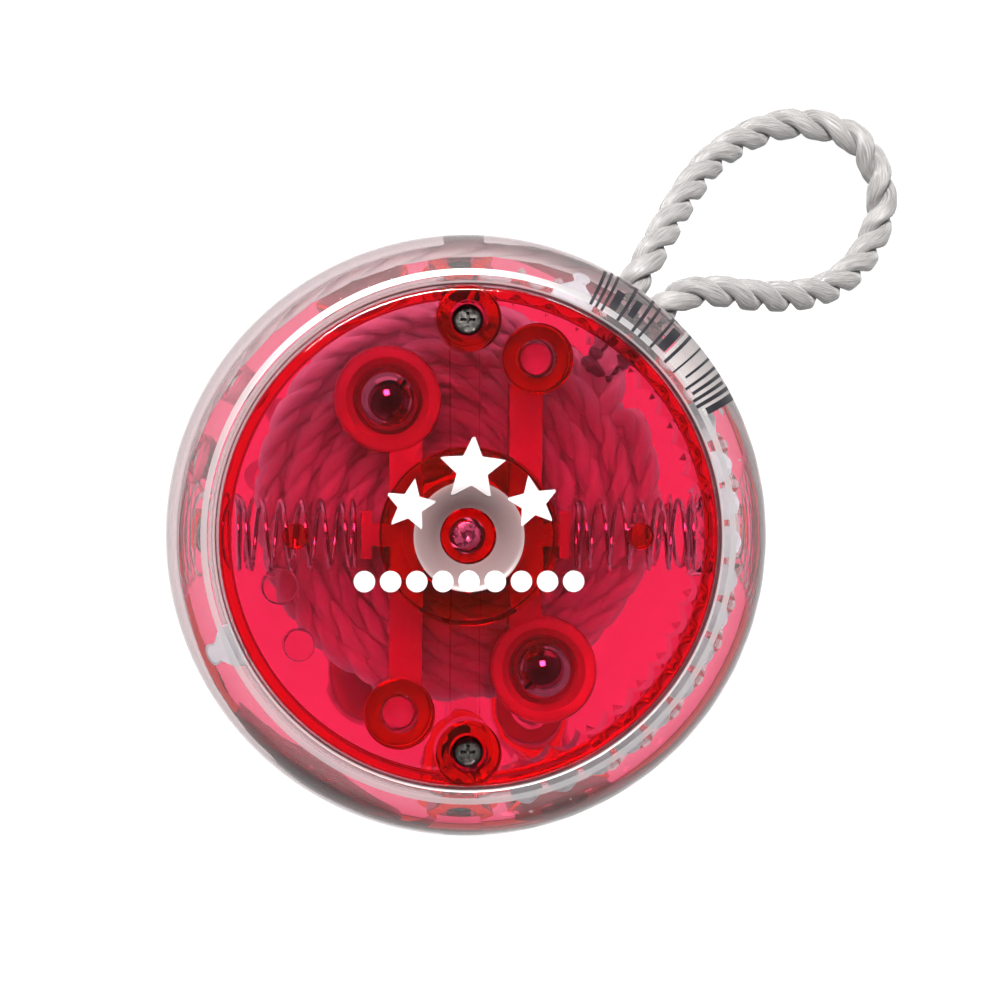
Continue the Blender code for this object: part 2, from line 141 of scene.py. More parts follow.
RIB_TOP_Z = 8.0 * MM
SPRING_POCKET_R = 3.9 * MM
SPRING_WIRE = 0.45 * MM
SPRING_COILS = 7.5
CAP_UNDER_Z = 15.5 * MM
CAP_SKIRT_R = 22.3 * MM
BOSS_R = 8.3 * MM
BOSS_Z = 9.6 * MM
DISH_R = 5.2 * MM
DISH_HOLE_R = 2.66 * MM
DISH_DEPTH = 2.0 * MM
WELL_Z = 13.6 * MM  # the well under the dish ends here, over the axle's end
PIVOT_TUBE_R = 3.35 * MM
PIVOT_TUBE_BORE_R = 1.8 * MM
SPRING_POST_X = 16.2 * MM
SPRING_POST_R = 1.25 * MM
SPRING_POST_Z = 11.8 * MM

# The string: two plies twisted together, wound two abreast in the gap, then out into the finger loop
CORD_D = 2.8 * MM
CORD_PITCH = 7.2 * MM  # one whole turn of the pair, so a ply shows every half pitch
WOUND_SCALE = 0.84  # the cord is squeezed this much where it is wound
LOOP_SCALE = 1.12  # and slack and plump in the finger loop
PLY_REACH = 0.235  # a ply's centre line from the cord's, as a share of the cord's diameter
PLY_THICK = 0.265  # half a ply's thickness and width, as shares of the same
PLY_WIDE = 0.37
PLY_LOBES = 11  # fine lobes round each ply, and how far they stand out
LOBE_HEIGHT = 0.03
PLY_SIDES = 20
KNOT_CORD_D = 1.6 * MM  # the cord pulled tight
WINDING_LAYERS = 5
WINDING_TO_R = 18.2 * MM  # centre line of the outermost turn
WINDING_SIDE = 0.9 * MM  # the two turns of a layer lie this far to each side of the middle
WINDING_WANDER = 0.35 * MM
WINDING_SLACK = 3.3 * MM  # how far the outermost turn hangs off centre
SLACK_ANGLE = radians(99)
# Painted light: the cord inside this distance takes the lightened copy of the cord's colour.
WOUND_TO_R = 23.0 * MM  # cord nearer the axle than this is seen through the clear halves
KNOT_ANGLE = radians(50)
KNOT_R = 21.4 * MM
# From the winding to the knot, then the finger loop's own points in millimetres, as in the CAD model
LEAD_ROUTE = [(14.2, 10.3, 17.6), (13.9, 13.6, 17.5), (13.7, 17.2, 17.5)]
LOOP_ROUTE = [
    (14.4, 20.3, 17.5),
    (15.9, 23.0, 17.5),
    (17.8, 26.0, 17.2),
    (20.2, 30.0, 14.2),
    (22.7, 33.9, 10.5),
    (25.5, 37.2, 7.1),
    (29.5, 39.9, 3.6),
    (33.9, 41.3, 1.8),
    (37.8, 41.0, 1.6),
    (40.8, 39.7, 1.6),
    (42.6, 37.2, 1.6),
    (43.4, 34.5, 1.6),
    (43.2, 31.8, 1.7),
    (42.1, 29.1, 2.7),
    (40.0, 26.4, 5.0),
    (37.0, 24.4, 7.7),
    (33.4, 23.5, 10.5),
    (29.2, 23.4, 13.4),
    (25.3, 23.7, 15.9),
    (22.1, 23.4, 17.2),
    (19.7, 22.0, 17.5),
    (18.1, 19.9, 17.5),
    (17.3, 17.7, 17.5),
]

# Print on the front cap: stars as (size, x, y), then a row of dots
PRINT_CLEARANCE = 0.01 * MM
PRINT_THICK = 0.05 * MM
STAR_NOTCH = 0.46  # the notches' reach as a share of the points'
PRINT_STARS = (
    (3.3 * MM, 0.3 * MM, 6.3 * MM),
    (2.6 * MM, -5.5 * MM, 2.9 * MM),
    (2.6 * MM, 6.0 * MM, 3.2 * MM),
)
PRINT_DOTS = 9
PRINT_DOT_STEP = 2.45 * MM
PRINT_DOT_R = 1.0 * MM
PRINT_DOT_Y = -4.2 * MM

# Label on the front rim's outer face: dark bars as (from, to) in degrees round the rim, then the start
# and end of the bar as shares of the way down the face, and the pale strips behind them in degrees
LABEL_FOOT_Z = 12.4 * MM
LABEL_STRIP = 0.7
LABEL_STRIP_GAP = 0.02
LABEL_STRIP_ENDS = (0.04, 0.92)
BAR_LIFT = (0.025 * MM, 0.05 * MM)  # under and upper face of the bars and strips, off the rim
STRIP_LIFT = (0.005 * MM, 0.02 * MM)
LABEL_BARS = (
    (27.0, 28.5, 0.1, 0.85),
    (29.2, 30.0, 0.0, 0.9),
    (30.7, 31.4, 0.0, 0.8),
    (32.2, 32.9, 0.05, 0.9),
    (33.9, 34.5, 0.0, 0.9),
    (36.0, 36.5, 0.1, 0.9),
    (38.6, 39.0, 0.0, 0.85),
    (41.4, 42.1, 0.0, 0.9),
    (43.4, 45.4, 0.1, 0.6),
    (46.0, 46.6, 0.0, 0.9),
    (49.4, 50.0, 0.0, 0.8),
    (51.2, 51.9, 0.0, 0.9),
    (53.0, 54.5, 0.15, 0.5),
    (55.2, 55.9, 0.0, 0.9),
    (57.0, 58.8, 0.1, 0.45),
    (59.4, 60.0, 0.0, 0.9),
    (60.8, 61.4, 0.0, 0.9),
    (62.1, 62.8, 0.0, 0.8),
)
LABEL_PATCHES = ((27.0, 43.0),)

# Camera and light
CAMERA_DISTANCE = 400 * MM
CAMERA_SIDE = Vector((-0.038, 0.021, 1.0))  # from the object towards the camera
AIM = Vector((3.7 * MM, 3.2 * MM, MIDDLE))
LENS_MM = 147.3
# Painted light: the floor's emission is a painted pool of light round the object.
PAINTED_POOL_R = 0.15  # the table's glow fades out to this distance
LAMP_COLOUR = (1.0, 0.985, 0.965)


# ---------------------------------------------------------------- mesh helpers


def to_mesh(name, bm):
    bmesh.ops.recalc_face_normals(bm, faces=bm.faces)
    mesh = bpy.data.meshes.new(name)
    bm.to_mesh(mesh)
    bm.free()
    return mesh


def smooth(mesh, angle=32):
    mesh.shade_smooth()
    mesh.set_sharp_from_angle(angle=radians(angle))
    return mesh


def new_object(name, data):
    obj = bpy.data.objects.new(name, data)
    SCENE.collection.objects.link(obj)
    return obj


def turned(profile, segments=96, centre=Vector((0, 0, 0)), start=0.0):
    """A solid turned about Z from a closed (radius, z) profile. Points on the axis become one vertex."""
    bm = bmesh.new()
    rings = []
    for radius, z in profile:
        if radius == 0:
            rings.append([bm.verts.new(centre + Vector((0, 0, z)))] * segments)
            continue
        ring = []
        for i in range(segments):
            angle = 2 * pi * (i + start) / segments
            ring.append(bm.verts.new(centre + Vector((radius * cos(angle), radius * sin(angle), z))))
        rings.append(ring)
    for lower, upper in zip(rings, rings[1:] + rings[:1]):
        for i in range(segments):
            j = (i + 1) % segments
            corners = list(dict.fromkeys((lower[i], lower[j], upper[j], upper[i])))
            if len(corners) > 2:
                bm.faces.new(corners)
    return bm


def rod(radius, low, high, segments=48, centre=Vector((0, 0, 0)), soft=0.0):
    """A round rod along Z, with its top and bottom edges rounded off by soft."""
    if soft == 0:
        profile = [(0, low), (radius, low), (radius, high), (0, high)]
    else:
        bottom = arc(radius - soft, low + soft, soft, -90, 0, 4)
        top = arc(radius - soft, high - soft, soft, 0, 90, 4)
        profile = [(0, low)] + bottom + top + [(0, high)]
    return turned(profile, segments, centre, start=0.37)


def prism(outline, low, high):
    """A straight solid between two heights from a list of (x, y) points."""
    bm = bmesh.new()
    bottom = [bm.verts.new((x, y, low)) for x, y in outline]
    top = [bm.verts.new((x, y, high)) for x, y in outline]
    bm.faces.new(bottom)
    bm.faces.new(top)
    for i in range(len(outline)):
        j = (i + 1) % len(outline)
        bm.faces.new((bottom[i], bottom[j], top[j], top[i]))
    return bm


def polar(radius, angle):
    return Vector((radius * cos(angle), radius * sin(angle), 0))


def block(x0, x1, y0, y1, low, high):
    return prism([(x0, y0), (x1, y0), (x1, y1), (x0, y1)], low, high)


def arc(centre_r, centre_z, radius, start, end, steps):
    """Profile points on an arc, with angles in degrees from the outward direction."""
    points = []
    for i in range(steps + 1):
        angle = radians(start + (end - start) * i / steps)
        points.append((centre_r + radius * cos(angle), centre_z + radius * sin(angle)))
    return points


def joined(parts):
    """Several bmeshes that don't meet, as one."""
    whole = bmesh.new()
    for part in parts:
        mesh = to_mesh("part", part)
        whole.from_mesh(mesh)
        bpy.data.meshes.remove(mesh)
    return whole


def carved(name, bm, tools):
    """A mesh from a blank and a list of (bmesh, operation) tools, joined or cut in turn.

    The cuts are made a thousand times larger, because the solver's tolerances suit large objects.
    """
    enlarge = Matrix.Diagonal((1 / MM, 1 / MM, 1 / MM, 1))
    bm.transform(enlarge)
    blank = new_object(f"{name}_blank", to_mesh(f"{name}_blank", bm))
    helpers = [blank]
    for number, (tool_bm, operation) in enumerate(tools):
        tool_bm.transform(enlarge)
        tool = new_object(f"{name}_tool_{number}", to_mesh(f"{name}_tool_{number}", tool_bm))
        helpers.append(tool)
        modifier = blank.modifiers.new(f"tool_{number}", "BOOLEAN")
        modifier.operation = operation
        modifier.solver = "EXACT"
        modifier.object = tool
    bpy.context.view_layer.update()
    depsgraph = bpy.context.evaluated_depsgraph_get()
    mesh = bpy.data.meshes.new_from_object(blank.evaluated_get(depsgraph))
    mesh.name = name
    mesh.transform(Matrix.Diagonal((MM, MM, MM, 1)))
    for helper in helpers:
        bpy.data.objects.remove(helper, do_unlink=True)
    return mesh


def catmull(points, steps):
    """Points along the Catmull-Rom curve through a route, in any number of dimensions."""
    route = [np.array(p, float) for p in points]
    ends = [route[0] * 2 - route[1]] + route + [route[-1] * 2 - route[-2]]
    fine = []
    for a, b, c, d in zip(ends, ends[1:], ends[2:], ends[3:]):
        for i in range(steps):
            t = i / steps
            bend = a * (-t + 2 * t**2 - t**3) + b * (2 - 5 * t**2 + 3 * t**3)
            bend = bend + c * (t + 4 * t**2 - 3 * t**3) + d * (t**3 - t**2)
            fine.append(bend / 2)
    fine.append(route[-1])
    return np.array(fine)


def half_matrix(side):
    middle = Matrix.Translation((0, 0, MIDDLE))
    if side == "front":
        return middle
    return middle @ Matrix.Rotation(pi, 4, "X")


def placed(name, mesh, side, mat, body, node, pivot=Vector((0, 0, 0)), turn=0.0):
    """One piece from a half's mesh: in place, riding on its body and standing for its CAD node."""
    obj = new_object(name, mesh)
    obj.matrix_world = half_matrix(side) @ Matrix.Rotation(turn, 4, "Z") @ Matrix.Translation(pivot)
    if not mesh.materials:
        mesh.materials.append(mat)
    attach(obj, body)
    if node:
        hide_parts(node)
    return obj


# ---------------------------------------------------------------- materials


def node_material(name):
    mat = bpy.data.materials.new(name)
    mat.use_nodes = True
    tree = mat.node_tree
    return mat, tree, tree.nodes["Principled BSDF"], tree.nodes["Material Output"]


def object_noise(tree, scale, detail=3.0, stretch=(1, 1, 1)):
    """Noise in the piece's own coordinates, with its scale given per metre."""
    place = tree.nodes.new("ShaderNodeTexCoord")
    mapping = tree.nodes.new("ShaderNodeMapping")
    mapping.inputs["Scale"].default_value = stretch
    noise = tree.nodes.new("ShaderNodeTexNoise")
    noise.inputs["Scale"].default_value = scale
    noise.inputs["Detail"].default_value = detail
    tree.links.new(place.outputs["Object"], mapping.inputs["Vector"])
    tree.links.new(mapping.outputs["Vector"], noise.inputs["Vector"])
    return noise


def ramp(tree, source, low, high, low_at=0.3, high_at=0.7):
    """A colour ramp from a noise's value."""
    node = tree.nodes.new("ShaderNodeValToRGB")
    node.color_ramp.elements[0].position = low_at
    node.color_ramp.elements[0].color = (*low, 1)
    node.color_ramp.elements[1].position = high_at
    node.color_ramp.elements[1].color = (*high, 1)
    tree.links.new(source, node.inputs["Fac"])
    return node


def bump(tree, source, shader, strength, distance):
    node = tree.nodes.new("ShaderNodeBump")
    node.inputs["Strength"].default_value = strength
    node.inputs["Distance"].default_value = distance
    tree.links.new(source, node.inputs["Height"])
    tree.links.new(node.outputs["Normal"], shader.inputs["Normal"])
    return node


def moulded_plastic(
    name, tint, absorbed, density, ripple, roughness=0.02, transmission=1.0, glint=1.0
):
    """See-through plastic: refraction, colour taken up with depth, flow ripples, and a milky share.

    glint is the share left of its reflections of what lies straight ahead of a face.
    """
    mat, tree, shader, output = node_material(name)
    shader.inputs["Base Color"].default_value = (*tint, 1)
    shader.inputs["Roughness"].default_value = roughness
    shader.inputs["IOR"].default_value = 1.49
    shader.inputs["Transmission Weight"].default_value = transmission
    shader.inputs["Specular Tint"].default_value = (glint, glint, glint, 1)
    noise = object_noise(tree, 260, 2.0)
    bump(tree, noise.outputs["Fac"], shader, ripple, 0.2 * MM)
    volume = tree.nodes.new("ShaderNodeVolumeAbsorption")
    volume.inputs["Color"].default_value = (*absorbed, 1)
    volume.inputs["Density"].default_value = density
    tree.links.new(volume.outputs["Volume"], output.inputs["Volume"])
    return mat


def steel(name, colour, roughness, grain, grain_scale, dull=None):
    """Bright or dull metal, with its roughness and colour broken up by a fine grain."""
    mat, tree, shader, _ = node_material(name)
    shader.inputs["Metallic"].default_value = 1.0
    noise = object_noise(tree, grain_scale, 4.0)
    dark = dull or tuple(0.8 * c for c in colour)
    tint = ramp(tree, noise.outputs["Fac"], dark, colour)
    tree.links.new(tint.outputs["Color"], shader.inputs["Base Color"])
    rough = ramp(tree, noise.outputs["Fac"], (roughness * 1.5,) * 3, (roughness * 0.7,) * 3)
    tree.links.new(rough.outputs["Color"], shader.inputs["Roughness"])
    bump(tree, noise.outputs["Fac"], shader, grain, 0.05 * MM)
    return mat


def pale_plastic():
    mat, tree, shader, _ = node_material("spindle_plastic")
    noise = object_noise(tree, 900, 3.0)
    tint = ramp(tree, noise.outputs["Fac"], (0.72, 0.66, 0.63), (0.84, 0.80, 0.78))
    tree.links.new(tint.outputs["Color"], shader.inputs["Base Color"])
    shader.inputs["Roughness"].default_value = 0.35
    bump(tree, noise.outputs["Fac"], shader, 0.1, 0.05 * MM)
    return mat


def nylon_cord(name, dark, light):
    """White twisted yarn: fine filaments along the cord, silky and sparkling where they catch light."""
    mat, tree, shader, _ = node_material(name)
    place = tree.nodes.new("ShaderNodeTexCoord")
    heights = []
    for along, across in ((3.0, 70), (9.0, 190)):
        mapping = tree.nodes.new("ShaderNodeMapping")
        mapping.inputs["Scale"].default_value = (along, across, 1)
        tree.links.new(place.outputs["UV"], mapping.inputs["Vector"])
        noise = tree.nodes.new("ShaderNodeTexNoise")
        noise.noise_dimensions = "2D"
        noise.inputs["Scale"].default_value = 1.0
        noise.inputs["Detail"].default_value = 2.0
        tree.links.new(mapping.outputs["Vector"], noise.inputs["Vector"])
        heights.append(noise)
    tint = ramp(tree, heights[0].outputs["Fac"], dark, light, 0.3, 0.65)
    tree.links.new(tint.outputs["Color"], shader.inputs["Base Color"])
    rough = ramp(tree, heights[1].outputs["Fac"], (0.5,) * 3, (0.2,) * 3, 0.4, 0.65)
    tree.links.new(rough.outputs["Color"], shader.inputs["Roughness"])
    shader.inputs["Sheen Weight"].default_value = 0.25
    shader.inputs["Sheen Roughness"].default_value = 0.4
    coarse = bump(tree, heights[0].outputs["Fac"], shader, 0.6, 0.14 * MM)
    fine = bump(tree, heights[1].outputs["Fac"], shader, 0.5, 0.05 * MM)
    tree.links.new(coarse.outputs["Normal"], fine.inputs["Normal"])
    return mat


def print_ink(name, colour, gloss=0.5):
    mat, tree, shader, _ = node_material(name)
    shader.inputs["Specular IOR Level"].default_value = gloss
    noise = object_noise(tree, 1500, 2.0)
    tint = ramp(tree, noise.outputs["Fac"], tuple(0.94 * c for c in colour), colour)
    tree.links.new(tint.outputs["Color"], shader.inputs["Base Color"])
    shader.inputs["Roughness"].default_value = 0.45
    return mat


def painted_edge_shade(mat, tint, edge, start, end):
    """Painted shade: the plastic's colour is darkened where a face is seen at a grazing angle, so its
    edges look grey.
    """
    tree = mat.node_tree
    weight = tree.nodes.new("ShaderNodeLayerWeight")
    shade = ramp(tree, weight.outputs["Facing"], tint, edge, start, end)
    tree.links.new(shade.outputs["Color"], tree.nodes["Principled BSDF"].inputs["Base Color"])


# Painted light: the absorption colour (0.45, 0.0, 0.06) gives every clear plastic a pink-grey cast with
# depth. It stands in for red light scattered from the red parts; the plastic itself is colourless.
CLEAR = moulded_plastic(
    "clear_plastic", (0.96, 0.96, 0.965), (0.45, 0.0, 0.06), 38, 0.05, transmission=0.96, glint=0.0
)
# Painted shade: the clear plastic turns grey where it is seen at a grazing angle.
painted_edge_shade(CLEAR, (0.96, 0.96, 0.965), (0.22, 0.19, 0.195), 0.36, 0.75)
FROSTED_CLEAR = moulded_plastic(
    "clear_plastic_frosted", (0.8, 0.8, 0.82), (0.45, 0.0, 0.06), 38, 0.1, 0.4, transmission=0.35
)
# Painted highlight: a pale milky clear plastic for the lip, standing in for light caught along the lip's
# edges.
LIP_HIGHLIGHT_CLEAR = moulded_plastic(
    "clear_plastic_lip_painted_highlight", (0.8, 0.8, 0.82), (0.45, 0.0, 0.06), 38, 0.1, 0.3, transmission=0.82
)
SATIN_CLEAR = moulded_plastic(
    "clear_plastic_satin", (0.93, 0.92, 0.93), (0.45, 0.0, 0.06), 38, 0.05, 0.3, transmission=0.96
)
RED = moulded_plastic(
    "red_plastic", (1.0, 0.95, 0.96), (0.98, 0.0, 0.37), 1200, 0.05, transmission=0.999
)
# Partly real, partly painted reflection: the dish's red is frosted (rough), and its pale milky share
# stands in for the light the dish reflects.
FROSTED_RED_PAINTED_REFLECTION = moulded_plastic(
    "red_plastic_frosted_painted_reflection", (0.9, 0.6, 0.61), (0.98, 0.0, 0.37), 950, 0.1, 0.35, transmission=0.86
)
LEVER_RED = moulded_plastic(
    "lever_plastic", (0.9, 0.12, 0.24), (0.95, 0.0, 0.42), 220, 0.05, 0.22, transmission=0.62
)
BALL_STEEL = steel("ball_steel", (0.52, 0.5, 0.5), 0.07, 0.01, 900)
SPRING_STEEL = steel("spring_steel", (0.9, 0.89, 0.88), 0.15, 0.05, 2500)
SCREW_STEEL = steel("screw_steel", (0.07, 0.066, 0.062), 0.4, 0.6, 2600, dull=(0.008, 0.008, 0.008))
AXLE_STEEL = steel("axle_steel", (0.6, 0.6, 0.62), 0.25, 0.08, 1800)
SPINDLE_PLASTIC = pale_plastic()
# Lit and shaded copies of the same white cord. The loop's copy is darkened, as painted shade against the
# strong key light. The wound copy behind the clear halves is lightened, as painted light.
LOOP_CORD_PAINTED_SHADE = nylon_cord("cord_nylon", (0.1, 0.095, 0.094), (0.23, 0.224, 0.222))
WOUND_CORD_PAINTED_LIGHT = nylon_cord("wound_cord_painted_light", (0.84, 0.82, 0.82), (0.98, 0.97, 0.97))
WHITE_INK = print_ink("white_print", (0.38, 0.345, 0.355), gloss=0.2)
DARK_INK = print_ink("dark_print", (0.012, 0.012, 0.015), gloss=0.1)
MILKY = print_ink("milky_plastic", (0.84, 0.9, 0.97))
PALE_FILM = print_ink("pale_film", (0.2, 0.185, 0.185))


# ---------------------------------------------------------------- the string


def twisted_rope(name, path, thickness, pitch, sides):
    """Two plies twisted left over right round a path, each an oval with its own fine lobes.

    thickness holds the cord's diameter at each path point. The UVs run along the cord and round each
    ply, and keep level with the cord's axis, as its filaments do.
    """
    path = np.array(path)
    steps = np.linalg.norm(np.diff(path, axis=0), axis=1)
    along = np.concatenate([[0], np.cumsum(steps)])
    tangents = np.gradient(path, axis=0)
    tangents /= np.linalg.norm(tangents, axis=1)[:, None]
    normals = np.zeros_like(path)
    seed = np.cross(tangents[0], (0, 0, 1.0))
    normals[0] = seed / np.linalg.norm(seed)
    for i in range(1, len(path)):
        carried = normals[i - 1] - tangents[i] * np.dot(normals[i - 1], tangents[i])
        normals[i] = carried / np.linalg.norm(carried)
    binormals = np.cross(tangents, normals)
    turn = 2 * pi * along / pitch
    angles = 2 * pi * np.arange(sides) / sides - pi  # the seam lies against the other ply
    bm = bmesh.new()
    uv = bm.loops.layers.uv.new("ply")
    for ply in (0, 1):
        around = turn + pi * ply
        outward = normals * np.cos(around)[:, None] + binormals * np.sin(around)[:, None]
        across = binormals * np.cos(around)[:, None] - normals * np.sin(around)[:, None]
        rings = []
        for i in range(len(path)):
            size = thickness[i]
            lobes = 1 + LOBE_HEIGHT * np.cos(PLY_LOBES * (angles + turn[i]))
            radial = (PLY_REACH * size + PLY_THICK * size * lobes * np.cos(angles))[:, None]
            side = (PLY_WIDE * size * lobes * np.sin(angles))[:, None]
            rings.append([bm.verts.new(p) for p in path[i] + outward[i] * radial + across[i] * side])
        for i in range(len(rings) - 1):
            for k in range(sides):
                n = (k + 1) % sides
                face = bm.faces.new((rings[i][k], rings[i][n], rings[i + 1][n], rings[i + 1][k]))
                for loop, (a, r) in zip(face.loops, ((k, i), (k + 1, i), (k + 1, i + 1), (k, i + 1))):
                    loop[uv].uv = (along[r] / pitch, a / sides + turn[r] / (2 * pi))
        bm.faces.new(rings[0])
        bm.faces.new(rings[-1])
    return smooth(to_mesh(name, bm), 60)


def winding_path():
    """The wound string: two abreast round the spindle's seat, its outer turns slack on one side."""
    first_r = STRING_SEAT_R + GAP + CORD_D * WOUND_SCALE / 2
    layer = (WINDING_TO_R - first_r) / (WINDING_LAYERS - 0.5)
    turns = 2 * WINDING_LAYERS
    per_turn = 120
    end_angle = radians(24)
    rng = np.random.default_rng(7)
    wander = np.convolve(rng.normal(0, 1, turns * per_turn + 1), np.hanning(40), "same")
    wander /= np.abs(wander).max()
    points = []
    for i in range(turns * per_turn + 1):
        turn = i / per_turn
        whole = min(int(turn), turns - 1)
        ease = min((turn - whole) / 0.25, 1.0)
        ease = ease * ease * (3 - 2 * ease)
        radii = [first_r + layer * max(n, 0) / 2 for n in (whole - 1, whole)]
        sides = [WINDING_SIDE if n % 2 else -WINDING_SIDE for n in (max(whole - 1, 0), whole)]
        r = radii[0] + (radii[1] - radii[0]) * ease + WINDING_WANDER * wander[i] * turn / turns
        z = sides[0] + (sides[1] - sides[0]) * ease
        angle = end_angle + 2 * pi * (turn - turns)
        slack = WINDING_SLACK * (turn / turns) ** 1.6
        points.append((
            r * cos(angle) + slack * cos(SLACK_ANGLE),
            r * sin(angle) + slack * sin(SLACK_ANGLE),
            MIDDLE + z,
        ))
    return np.array(points)


def evenly(points, step):
    """The same line with its points at even steps."""
    lengths = np.concatenate([[0], np.cumsum(np.linalg.norm(np.diff(points, axis=0), axis=1))])
    at = np.linspace(0, lengths[-1], int(lengths[-1] / step) + 1)
    return np.stack([np.interp(at, lengths, points[:, k]) for k in range(3)], 1)


def make_string():
    wound = winding_path()
    lead = np.array(LEAD_ROUTE + LOOP_ROUTE + [(15.6, 17.2, 17.5)]) * MM
    tail = catmull(np.vstack([wound[-8], wound[-1], lead]), 24)[24:]
    wound = evenly(wound, 0.42 * MM)
    tail = evenly(tail, 0.22 * MM)
    path = np.vstack([wound[:-1], tail])
    run = np.concatenate([np.zeros(len(wound) - 1), np.linspace(0, 1, len(tail))])
    grow = np.clip(run / 0.06, 0, 1)
    thickness = CORD_D * (WOUND_SCALE + (LOOP_SCALE - WOUND_SCALE) * grow * grow * (3 - 2 * grow))
    mesh = twisted_rope("string", path, thickness, CORD_PITCH, PLY_SIDES)
    string = new_object("string", mesh)
    mesh.materials.append(LOOP_CORD_PAINTED_SHADE)
    mesh.materials.append(WOUND_CORD_PAINTED_LIGHT)
    # Painted light: cord seen through the clear halves takes the lighter copy of the cord's colour, and
    # the loop the darker one.
    for face in mesh.polygons:
        if Vector(face.center[:2]).length < WOUND_TO_R:
            face.material_index = 1
    knot = make_knot()
    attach(string, "spindle")
    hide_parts("string_winding", "string_loop")


def make_knot():
    """The knot that closes the finger loop: two tight turns of the cord round its own legs."""
    points = []
    for i in range(61):
        share = i / 60
        angle = 2 * pi * 2.2 * share
        ahead = -1.5 * MM + 3.0 * MM * share
        points.append((ahead, 1.2 * MM * cos(angle), 0.8 * MM * sin(angle)))
    path = evenly(catmull(points, 4), 0.15 * MM)
    spin = np.array(Matrix.Rotation(KNOT_ANGLE, 3, "Z"))
    centre = np.array((KNOT_R * cos(KNOT_ANGLE), KNOT_R * sin(KNOT_ANGLE), MIDDLE))
    path = path @ spin.T + centre
    thickness = np.full(len(path), KNOT_CORD_D)
    mesh = twisted_rope("loop_knot_cord", path, thickness, CORD_PITCH, PLY_SIDES)
    mesh.materials.append(LOOP_CORD_PAINTED_SHADE)
    knot = new_object("loop_knot_cord", mesh)
    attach(knot, "spindle")
    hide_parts("loop_knot")
    return knot


# ---------------------------------------------------------------- clear half bodies


def rim_curve():
    """The rim's section from the gap side, round the outside to the lip, as one smooth curve."""
    rim = [
        (19 * MM, GAP_WALL_Z),
        (23 * MM, 2.9 * MM),
        (26 * MM, 4.4 * MM),
        (27.9 * MM, 6.6 * MM),
        (OUTER_R, 9.0 * MM),
        (OUTER_R, 11.0 * MM),
        (28.3 * MM, 13.2 * MM),
        (27.4 * MM, 15.4 * MM),
        (26.2 * MM, 16.9 * MM),
        (LIP_R, MIDDLE),
    ]
    return [(min(r, OUTER_R), min(max(z, GAP_WALL_Z), MIDDLE)) for r, z in catmull(rim, 6)]


def body_profile():
    """Hub hole, gap wall, rounded rim, lip and cap seat."""
    curve = rim_curve()
    edge = 0.25 * MM
    seat = arc(SEAT_R + edge, MIDDLE - edge, edge, 90, 180, 4)
    hub = arc(HUB_HOLE_R + edge, GAP_WALL_Z + edge, edge, 180, 270, 4)
    return hub + curve + seat + [(SEAT_R, LEDGE_Z), (HUB_HOLE_R, LEDGE_Z)]


def chamber_outline():
    """The chamber wall: a circle, with round scallops along one stretch whose crests face the axle."""
    step = (FLUTE_TO - FLUTE_FROM) / FLUTE_COUNT
    per_flute = 12
    points = []
    for i in range(FLUTE_COUNT * per_flute + 1):
        flute = i / per_flute
        wave = abs(sin(pi * flute))
        points.append((CHAMBER_R - FLUTE_DEPTH * (1 - wave**0.8), FLUTE_FROM + step * flute))
    plain = 2 * pi - FLUTE_TO + FLUTE_FROM
    for i in range(1, 120):
        points.append((CHAMBER_R, FLUTE_TO + plain * i / 120))
    return [(radius * cos(angle), radius * sin(angle)) for radius, angle in points]


def body_mesh():
    foot = FLOOR_Z - MM
    post_top = BOSS_Z - GAP
    spins = [Matrix.Rotation(turn, 3, "Z") for turn in (0, pi)]
    bosses = [spin @ Vector((0, SCREW_Y, 0)) for spin in spins]
    ribs, pockets = [], []
    for sign in (1, -1):
        ends = sorted((RIB_START_Y * sign, (SCREW_Y - SCREW_POST_R / 2) * sign))
        ribs.append(block(-RIB_WIDTH / 2, RIB_WIDTH / 2, *ends, foot, RIB_TOP_Z))
        pocket = rod(SPRING_POCKET_R, 18 * MM, SPRING_OUTER_X + GAP, 48)
        pocket.transform(Matrix.Rotation(radians(90) * sign, 4, "Y"))
        pocket.transform(Matrix.Translation((0, 0, SPRING_Z)))
        pockets.append(pocket)
    pivots = [rod(PIVOT_POST_R, foot, PIVOT_POST_Z, 40, spin @ PIVOT, 0.2 * MM) for spin in spins]
    for angle, reach, radius, top in STUDS:
        pivots.append(rod(radius, foot, top, 40, polar(reach, angle), 0.3 * MM))
    posts = [rod(SCREW_POST_R, foot, post_top + MM, 48, boss) for boss in bosses]
    pockets += [rod(SCREW_BOSS_R + GAP, post_top, LEDGE_Z + MM, 56, boss) for boss in bosses]
    pilots = [rod(SCREW_SHANK_R + GAP, SCREW_TIP_Z - GAP, LEDGE_Z, 24, boss) for boss in bosses]
    tools = (
        (prism(chamber_outline(), FLOOR_Z, LEDGE_Z + MM), "DIFFERENCE"),
        (joined(ribs + pivots), "UNION"),
        (joined(posts), "UNION"),
        (joined(pockets), "DIFFERENCE"),
        (joined(pilots), "DIFFERENCE"),
    )
    mesh = smooth(carved("body", turned(body_profile(), 192), tools))
    mesh.materials.clear()
    for mat in (CLEAR, FROSTED_CLEAR, LIP_HIGHLIGHT_CLEAR, SATIN_CLEAR):
        mesh.materials.append(mat)
    frosted, lip_highlight, satin = 1, 2, 3
    for face in mesh.polygons:
        reach = Vector(face.center[:2]).length
        # Painted highlight: the lip's faces take the pale milky plastic, which stands in for light along
        # the lip's edges.
        if face.center.z > MIDDLE - 0.2 * MM and not SEAT_R + 0.25 * MM < reach < LIP_R - 0.1 * MM:
            face.material_index = lip_highlight
        if abs(reach - SEAT_R) < 0.1 * MM and LEDGE_Z < face.center.z < MIDDLE - 0.3 * MM:
            face.material_index = satin
        for spin in spins:
            beside = face.center - spin @ PIVOT
            if Vector(beside[:2]).length < PIVOT_POST_R and beside.z > PIVOT_POST_Z - 0.1 * MM:
                face.material_index = frosted
    return mesh


# ---------------------------------------------------------------- red caps


